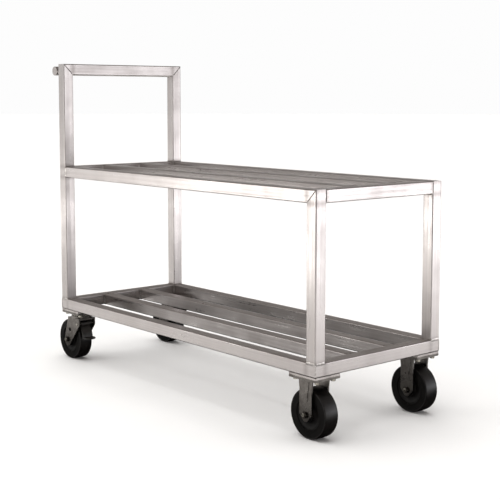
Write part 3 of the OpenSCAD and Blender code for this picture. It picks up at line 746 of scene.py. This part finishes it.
for nodeName, node in nodes.items():
    finish = None
    if "roller" in nodeName or "race_balls" in nodeName:
        finish = bearingSteel
    elif "kingpin" in nodeName or "sleeve" in nodeName:
        finish = zincFastener
    if finish:
        node.data.materials.clear()
        node.data.materials.append(finish)
print("casters made")


# ---- welds

bead = {
    "sides": 10,
    "spacing": 0.9 * mm,
    "ripple": 2.7 * mm,  # one puddle of the torch to the next
    "rise": 0.13,
    "swell": 0.06,
    "crest": 0.8,
    "sag": 0.45,  # how far the crest of a ripple leads its edges, in ripples
    "drift": 0.06,
    "driftLength": 9 * mm,
    "endLength": 2.2 * mm,
    "endLeast": 0.05,
    "merging": 0.02 * mm,
    "sharpAngle": 75,
    "seed": 7,
}
random.seed(bead["seed"])


# A bead laid along stations of (point, direction away from the metal, half width, height). A straight
# ribbed bar is made first, and its rings are then moved onto the path.
def layBead(target, stations, closed=False):
    points = [Vector(station[0]) for station in stations]
    if closed:
        stations = list(stations) + [stations[0]]
        points.append(points[0])
    distances = [0.0]
    for a, b in zip(points, points[1:]):
        distances.append(distances[-1] + (b - a).length)
    length = distances[-1]
    tangents = []
    for i in range(len(points)):
        before = points[i] - points[i - 1] if i > 0 else None
        after = points[i + 1] - points[i] if i < len(points) - 1 else None
        if closed and i in (0, len(points) - 1):
            before, after = points[-1] - points[-2], points[1] - points[0]
        total = Vector()
        for part in (before, after):
            if part is not None:
                total += part.normalized()
        tangents.append(total.normalized())
    rings = max(4, round(length / bead["spacing"]))

    shape = bmesh.new()
    bmesh.ops.create_circle(shape, segments=bead["sides"], radius=1.0)
    bmesh.ops.rotate(shape, verts=shape.verts, matrix=Matrix.Rotation(math.pi / 2, 3, "Y"))
    first = list(shape.edges)
    grown = bmesh.ops.extrude_edge_only(shape, edges=first)["geom"]
    bmesh.ops.translate(shape, verts=[part for part in grown if isinstance(part, bmesh.types.BMVert)],
                        vec=(length, 0, 0))
    lengthwise = [edge for edge in shape.edges
                  if abs(edge.verts[0].co.x - edge.verts[1].co.x) > length / 2]
    bmesh.ops.subdivide_edges(shape, edges=lengthwise, cuts=rings - 1, use_grid_fill=True)
    if not closed:
        ends = [edge for edge in shape.edges if edge.is_boundary]
        bmesh.ops.holes_fill(shape, edges=ends, sides=0)

    phase = random.random() * 100
    for vert in shape.verts:
        s, y, z = vert.co.x, vert.co.y, vert.co.z
        i = 0
        while i < len(distances) - 2 and distances[i + 1] < s:
            i += 1
        span = distances[i + 1] - distances[i]
        share = min(1, max(0, (s - distances[i]) / span)) if span > 0 else 0
        a, b = stations[i], stations[i + 1]
        centre = points[i].lerp(points[i + 1], share)
        tangent = tangents[i].lerp(tangents[i + 1], share).normalized()
        outward = Vector(a[1]).normalized().lerp(Vector(b[1]).normalized(), share).normalized()
        across = tangent.cross(outward).normalized()
        halfWidth = a[2] + (b[2] - a[2]) * share
        height = a[3] + (b[3] - a[3]) * share
        beat = (s + phase) / bead["ripple"] + bead["sag"] * y * y
        ripple = math.cos(2 * math.pi * beat)
        ripple = 1 - 2 * ((1 - ripple) / 2) ** 2  # broad crests and narrow valleys
        drift = noise.noise((s / bead["driftLength"], phase, 0.0))
        end = 1.0
        if not closed:
            nearEnd = min(s, length - s) / bead["endLength"]
            end = math.sqrt(max(bead["endLeast"], 1 - max(0, 1 - nearEnd) ** 2))
        wide = halfWidth * (1 + bead["swell"] * (ripple * 0.5 + drift)) * end
        lift = 1 - bead["rise"] + bead["rise"] * bead["crest"] * ripple + bead["drift"] * drift
        tall = height * lift * end
        vert.co = centre + across * (y * wide) + outward * (z * tall)
    if closed:
        bmesh.ops.remove_doubles(shape, verts=shape.verts, dist=bead["merging"])
    bmesh.ops.recalc_face_normals(shape, faces=shape.faces)
    addShape(target, shape)


weldSize = {
    "flatHalf": 4.6 * mm, "flatHeight": 1.35 * mm,
    "cornerHalf": 3.6 * mm, "cornerHeight": 2.4 * mm, "cornerOut": 0.7 * mm,
    "postCorner": 3.5 * mm,
    "seamHalf": 1.7 * mm, "seamHeight": 0.28 * mm, "seamInset": 3.6 * mm,
    "groundHalf": 1.0 * mm, "groundHeight": 0.15 * mm,
    "endGap": 3 * mm,  # how far a bead stops short of a tube's corner
    # the upright corners of the lower rails: bead half width, height, depth under the corner, ends
    "uprightHalf": 1.7 * mm, "uprightHeight": 1.0 * mm, "uprightIn": 0.4 * mm,
    "uprightFoot": 2 * mm, "uprightHead": 6 * mm,
}


# A weld all round the end of a square tube. centre is where the tube's axis meets what it stands on,
# axis points into the tube, and flat says which of its four faces run on into the next piece.
def tubeEndWeld(target, centre, axis, firstFace, flat, ground=False):
    centre, axis, firstFace = Vector(centre), Vector(axis), Vector(firstFace)
    faces = [firstFace, axis.cross(firstFace), -firstFace, -axis.cross(firstFace)]
    half, corner = place["tube"] / 2, weldSize["postCorner"]
    stations = []
    for i, face in enumerate(faces):
        following = faces[(i + 1) % 4]
        isFlat = flat[i]
        outward = face if isFlat else (face + axis).normalized()
        shift = 0 if isFlat else weldSize["cornerOut"]
        halfWidth = weldSize["flatHalf"] if isFlat else weldSize["cornerHalf"]
        height = weldSize["flatHeight"] if isFlat else weldSize["cornerHeight"]
        if isFlat and ground:
            halfWidth, height = weldSize["groundHalf"], weldSize["groundHeight"]
        run = half - corner
        for step in (-run, -run * 0.5, 0.0, run * 0.5, run):
            point = centre + face * half + following * step + outward * shift
            stations.append((point, outward, halfWidth, height))
    layBead(target, stations, closed=True)


def straightBead(target, start, end, outward, halfWidth, height):
    start, end = Vector(start), Vector(end)
    layBead(target, [(start.lerp(end, i / 4), outward, halfWidth, height) for i in range(5)])


rearX, frontX = place["rearX"], place["frontX"]
tube, halfWidthY = place["tube"], place["halfWidth"]
lowerBottom, lowerTop = place["lowerBottom"], place["lowerTop"]
upperBottom, upperTop = place["upperBottom"], place["upperTop"]
gap, inset = weldSize["endGap"], weldSize["seamInset"]
flatBead = (weldSize["flatHalf"], weldSize["flatHeight"])
cornerBead = (weldSize["cornerHalf"], weldSize["cornerHeight"])
seamBead = (weldSize["seamHalf"], weldSize["seamHeight"])
uprightBead = (weldSize["uprightHalf"], weldSize["uprightHeight"])


def makeWelds(name, shape, material=weldMetal, replaced=()):
    makePiece(name, shape, material, "frame", replaced, bead["sharpAngle"])


# round the feet of the four posts, and the seams on the outside of the handle posts
shape = bmesh.new()
for sign in sides.values():
    for along, postX in ((1, frontX - tube / 2), (-1, rearX + tube / 2)):
        out, outY = Vector((along, 0, 0)), Vector((0, sign, 0))
        order = [out, up.cross(out), -out, -up.cross(out)]
        flat = [face.dot(out) > 0.5 or face.dot(outY) > 0.5 for face in order]
        tubeEndWeld(shape, (postX, sign * place["postY"], lowerTop), up, out, flat)
    straightBead(shape, (rearX + tube, sign * halfWidthY, upperBottom + gap),
                 (rearX + tube, sign * halfWidthY, upperTop - gap), (0, sign, 0), *flatBead)
makeWelds("postWelds", shape, replaced=["frame_welds"])

# deck bars and end rails
for deckName, deckBottom in (("lower", lowerBottom), ("upper", upperBottom)):
    shape = bmesh.new()
    middle = deckBottom + tube / 2
    for sign in (-1, 1):
        for along, endX in ((1, rearX + tube), (-1, frontX - tube)):
            tubeEndWeld(shape, (endX, sign * place["barY"], middle), (along, 0, 0), (0, 0, 1),
                        [True, False, True, False])
    if deckName == "upper":
        for sign in (-1, 1):
            y = sign * (halfWidthY - tube)
            inward = Vector((0, -sign, 0))
            for endX, outX, topFlat in ((frontX - tube / 2, 1, True), (rearX + tube / 2, -1, False)):
                order = [up, inward.cross(up), -up, -inward.cross(up)]
                flat = [(face.dot(up) > 0.5 and topFlat) or face.x * outX > 0.5 for face in order]
                tubeEndWeld(shape, (endX, y, middle), inward, up, flat, ground=True)
            # the side rail's end on the handle post, above and below
            x = rearX + tube + weldSize["cornerOut"] * 0.7
            for top, z in ((1, deckBottom + tube), (-1, deckBottom)):
                straightBead(shape, (x, sign * (halfWidthY - gap), z),
                             (x, sign * (halfWidthY - tube + gap), z), (1, 0, top), *cornerBead)
    makeWelds(deckName + "DeckWelds", shape)

# mitres: ground flush on the faces, with a small bead in each inner corner
shape = bmesh.new()
fillets = bmesh.new()
for sign in sides.values():
    outerY, innerY = sign * halfWidthY, sign * (halfWidthY - tube)
    for y, outY in ((outerY, sign), (innerY, -sign)):  # upper front corners, on both sides of the tubes
        straightBead(shape, (frontX - inset, y, upperTop - inset),
                     (frontX - tube + inset, y, upperBottom + inset), (0, outY, 0), *seamBead)
    # the upper front rail's ends: on the front face and on top
    straightBead(shape, (frontX, innerY, upperBottom + inset), (frontX, innerY, upperTop - inset),
                 (1, 0, 0), *seamBead)
    straightBead(shape, (frontX - inset, innerY, upperTop), (frontX - tube + inset, innerY, upperTop),
                 (0, 0, 1), *seamBead)
    for x, outX in ((rearX, -1), (rearX + tube, 1)):  # handle corners, front and back
        straightBead(shape, (x, outerY - sign * inset, place["handleTop"] - inset),
                     (x, innerY + sign * inset, place["handleRail"] + inset), (outX, 0, 0), *seamBead)
    straightBead(fillets, (frontX - tube, outerY - sign * gap, upperBottom),
                 (frontX - tube, innerY + sign * gap, upperBottom), (-1, 0, -1), *cornerBead)
    straightBead(fillets, (rearX + gap, innerY, place["handleRail"]),
                 (rearX + tube - gap, innerY, place["handleRail"]), (0, -sign, -1), *cornerBead)
    for cornerX, outX in ((frontX, 1), (rearX, -1)):  # the lower rails' upright corners
        x = cornerX - outX * weldSize["uprightIn"]
        y = outerY - sign * weldSize["uprightIn"]
        straightBead(fillets, (x, y, lowerBottom + weldSize["uprightFoot"]),
                     (x, y, lowerTop - weldSize["uprightHead"]), (outX, sign, 0), *uprightBead)
        x = cornerX - outX * tube
        straightBead(fillets, (x, innerY, lowerBottom + gap), (x, innerY, lowerTop - gap),
                     (-outX, -sign, 0), *cornerBead)
makeWelds("mitreSeams", shape, groundWeld)
makeWelds("mitreWelds", fillets)

# the push handle's stubs, welded to the posts and to the bar
gripLow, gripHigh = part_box("push_handle")
grip = {
    "radius": (gripHigh.z - gripLow.z) / 2,
    "height": (gripHigh.z + gripLow.z) / 2,
    "stubRadius": 10.65 * mm,
    "stubY": 245 * mm,
    "endRounding": 1.6 * mm,
    "corner": 60,
    "roundSteps": 3,
    "stations": 24,
    "bead": (3.0 * mm, 2.0 * mm),  # half width and height
    "postOut": 0.5 * mm,
    "barOut": 0.4 * mm,
}
softEdged("pushHandle", "push_handle", grip["endRounding"], alongY, "frame",
          grip["corner"], grip["roundSteps"])
shape = bmesh.new()
for sign in sides.values():
    onPost, onBar = [], []
    for i in range(grip["stations"]):
        angle = 2 * math.pi * i / grip["stations"]
        away = Vector((0, math.cos(angle), math.sin(angle)))
        centre = Vector((rearX, sign * grip["stubY"], grip["height"]))
        outward = (away + Vector((-1, 0, 0))).normalized()
        onPost.append((centre + away * grip["stubRadius"] + outward * grip["postOut"], outward,
                       *grip["bead"]))
        rise = away.z * grip["stubRadius"]
        reach = math.sqrt(grip["radius"] ** 2 - rise ** 2)
        barNormal = Vector((reach, 0, rise)).normalized()
        outward = (away + barNormal).normalized()
        onSurface = Vector((gripLow.x + grip["radius"] + reach, centre.y + away.y * grip["stubRadius"],
                            grip["height"] + rise))
        onBar.append((onSurface + outward * grip["barOut"], outward, *grip["bead"]))
    layBead(shape, onPost, closed=True)
    layBead(shape, onBar, closed=True)

# stitches that hold the caster pads under the rails
stitch = {"long": 30 * mm, "bead": (3.2 * mm, 2.2 * mm), "starts": (8 * mm, 40 * mm)}
z = high("caster_pads").z
for sign in sides.values():
    innerY = sign * (halfWidthY - tube)
    for cornerX, outX in ((frontX, 1), (rearX, -1)):
        for start in stitch["starts"]:
            x = cornerX - outX * (tube + start)
            straightBead(shape, (x, innerY, z), (x - outX * stitch["long"], innerY, z), (0, -sign, 1),
                         *stitch["bead"])
        x = cornerX - outX * tube
        y = innerY - sign * stitch["starts"][0]
        straightBead(shape, (x, y, z), (x, y - sign * stitch["long"], z), (-outX, 0, 1),
                     *stitch["bead"])
makeWelds("handleAndPadWelds", shape)
print("welds laid")
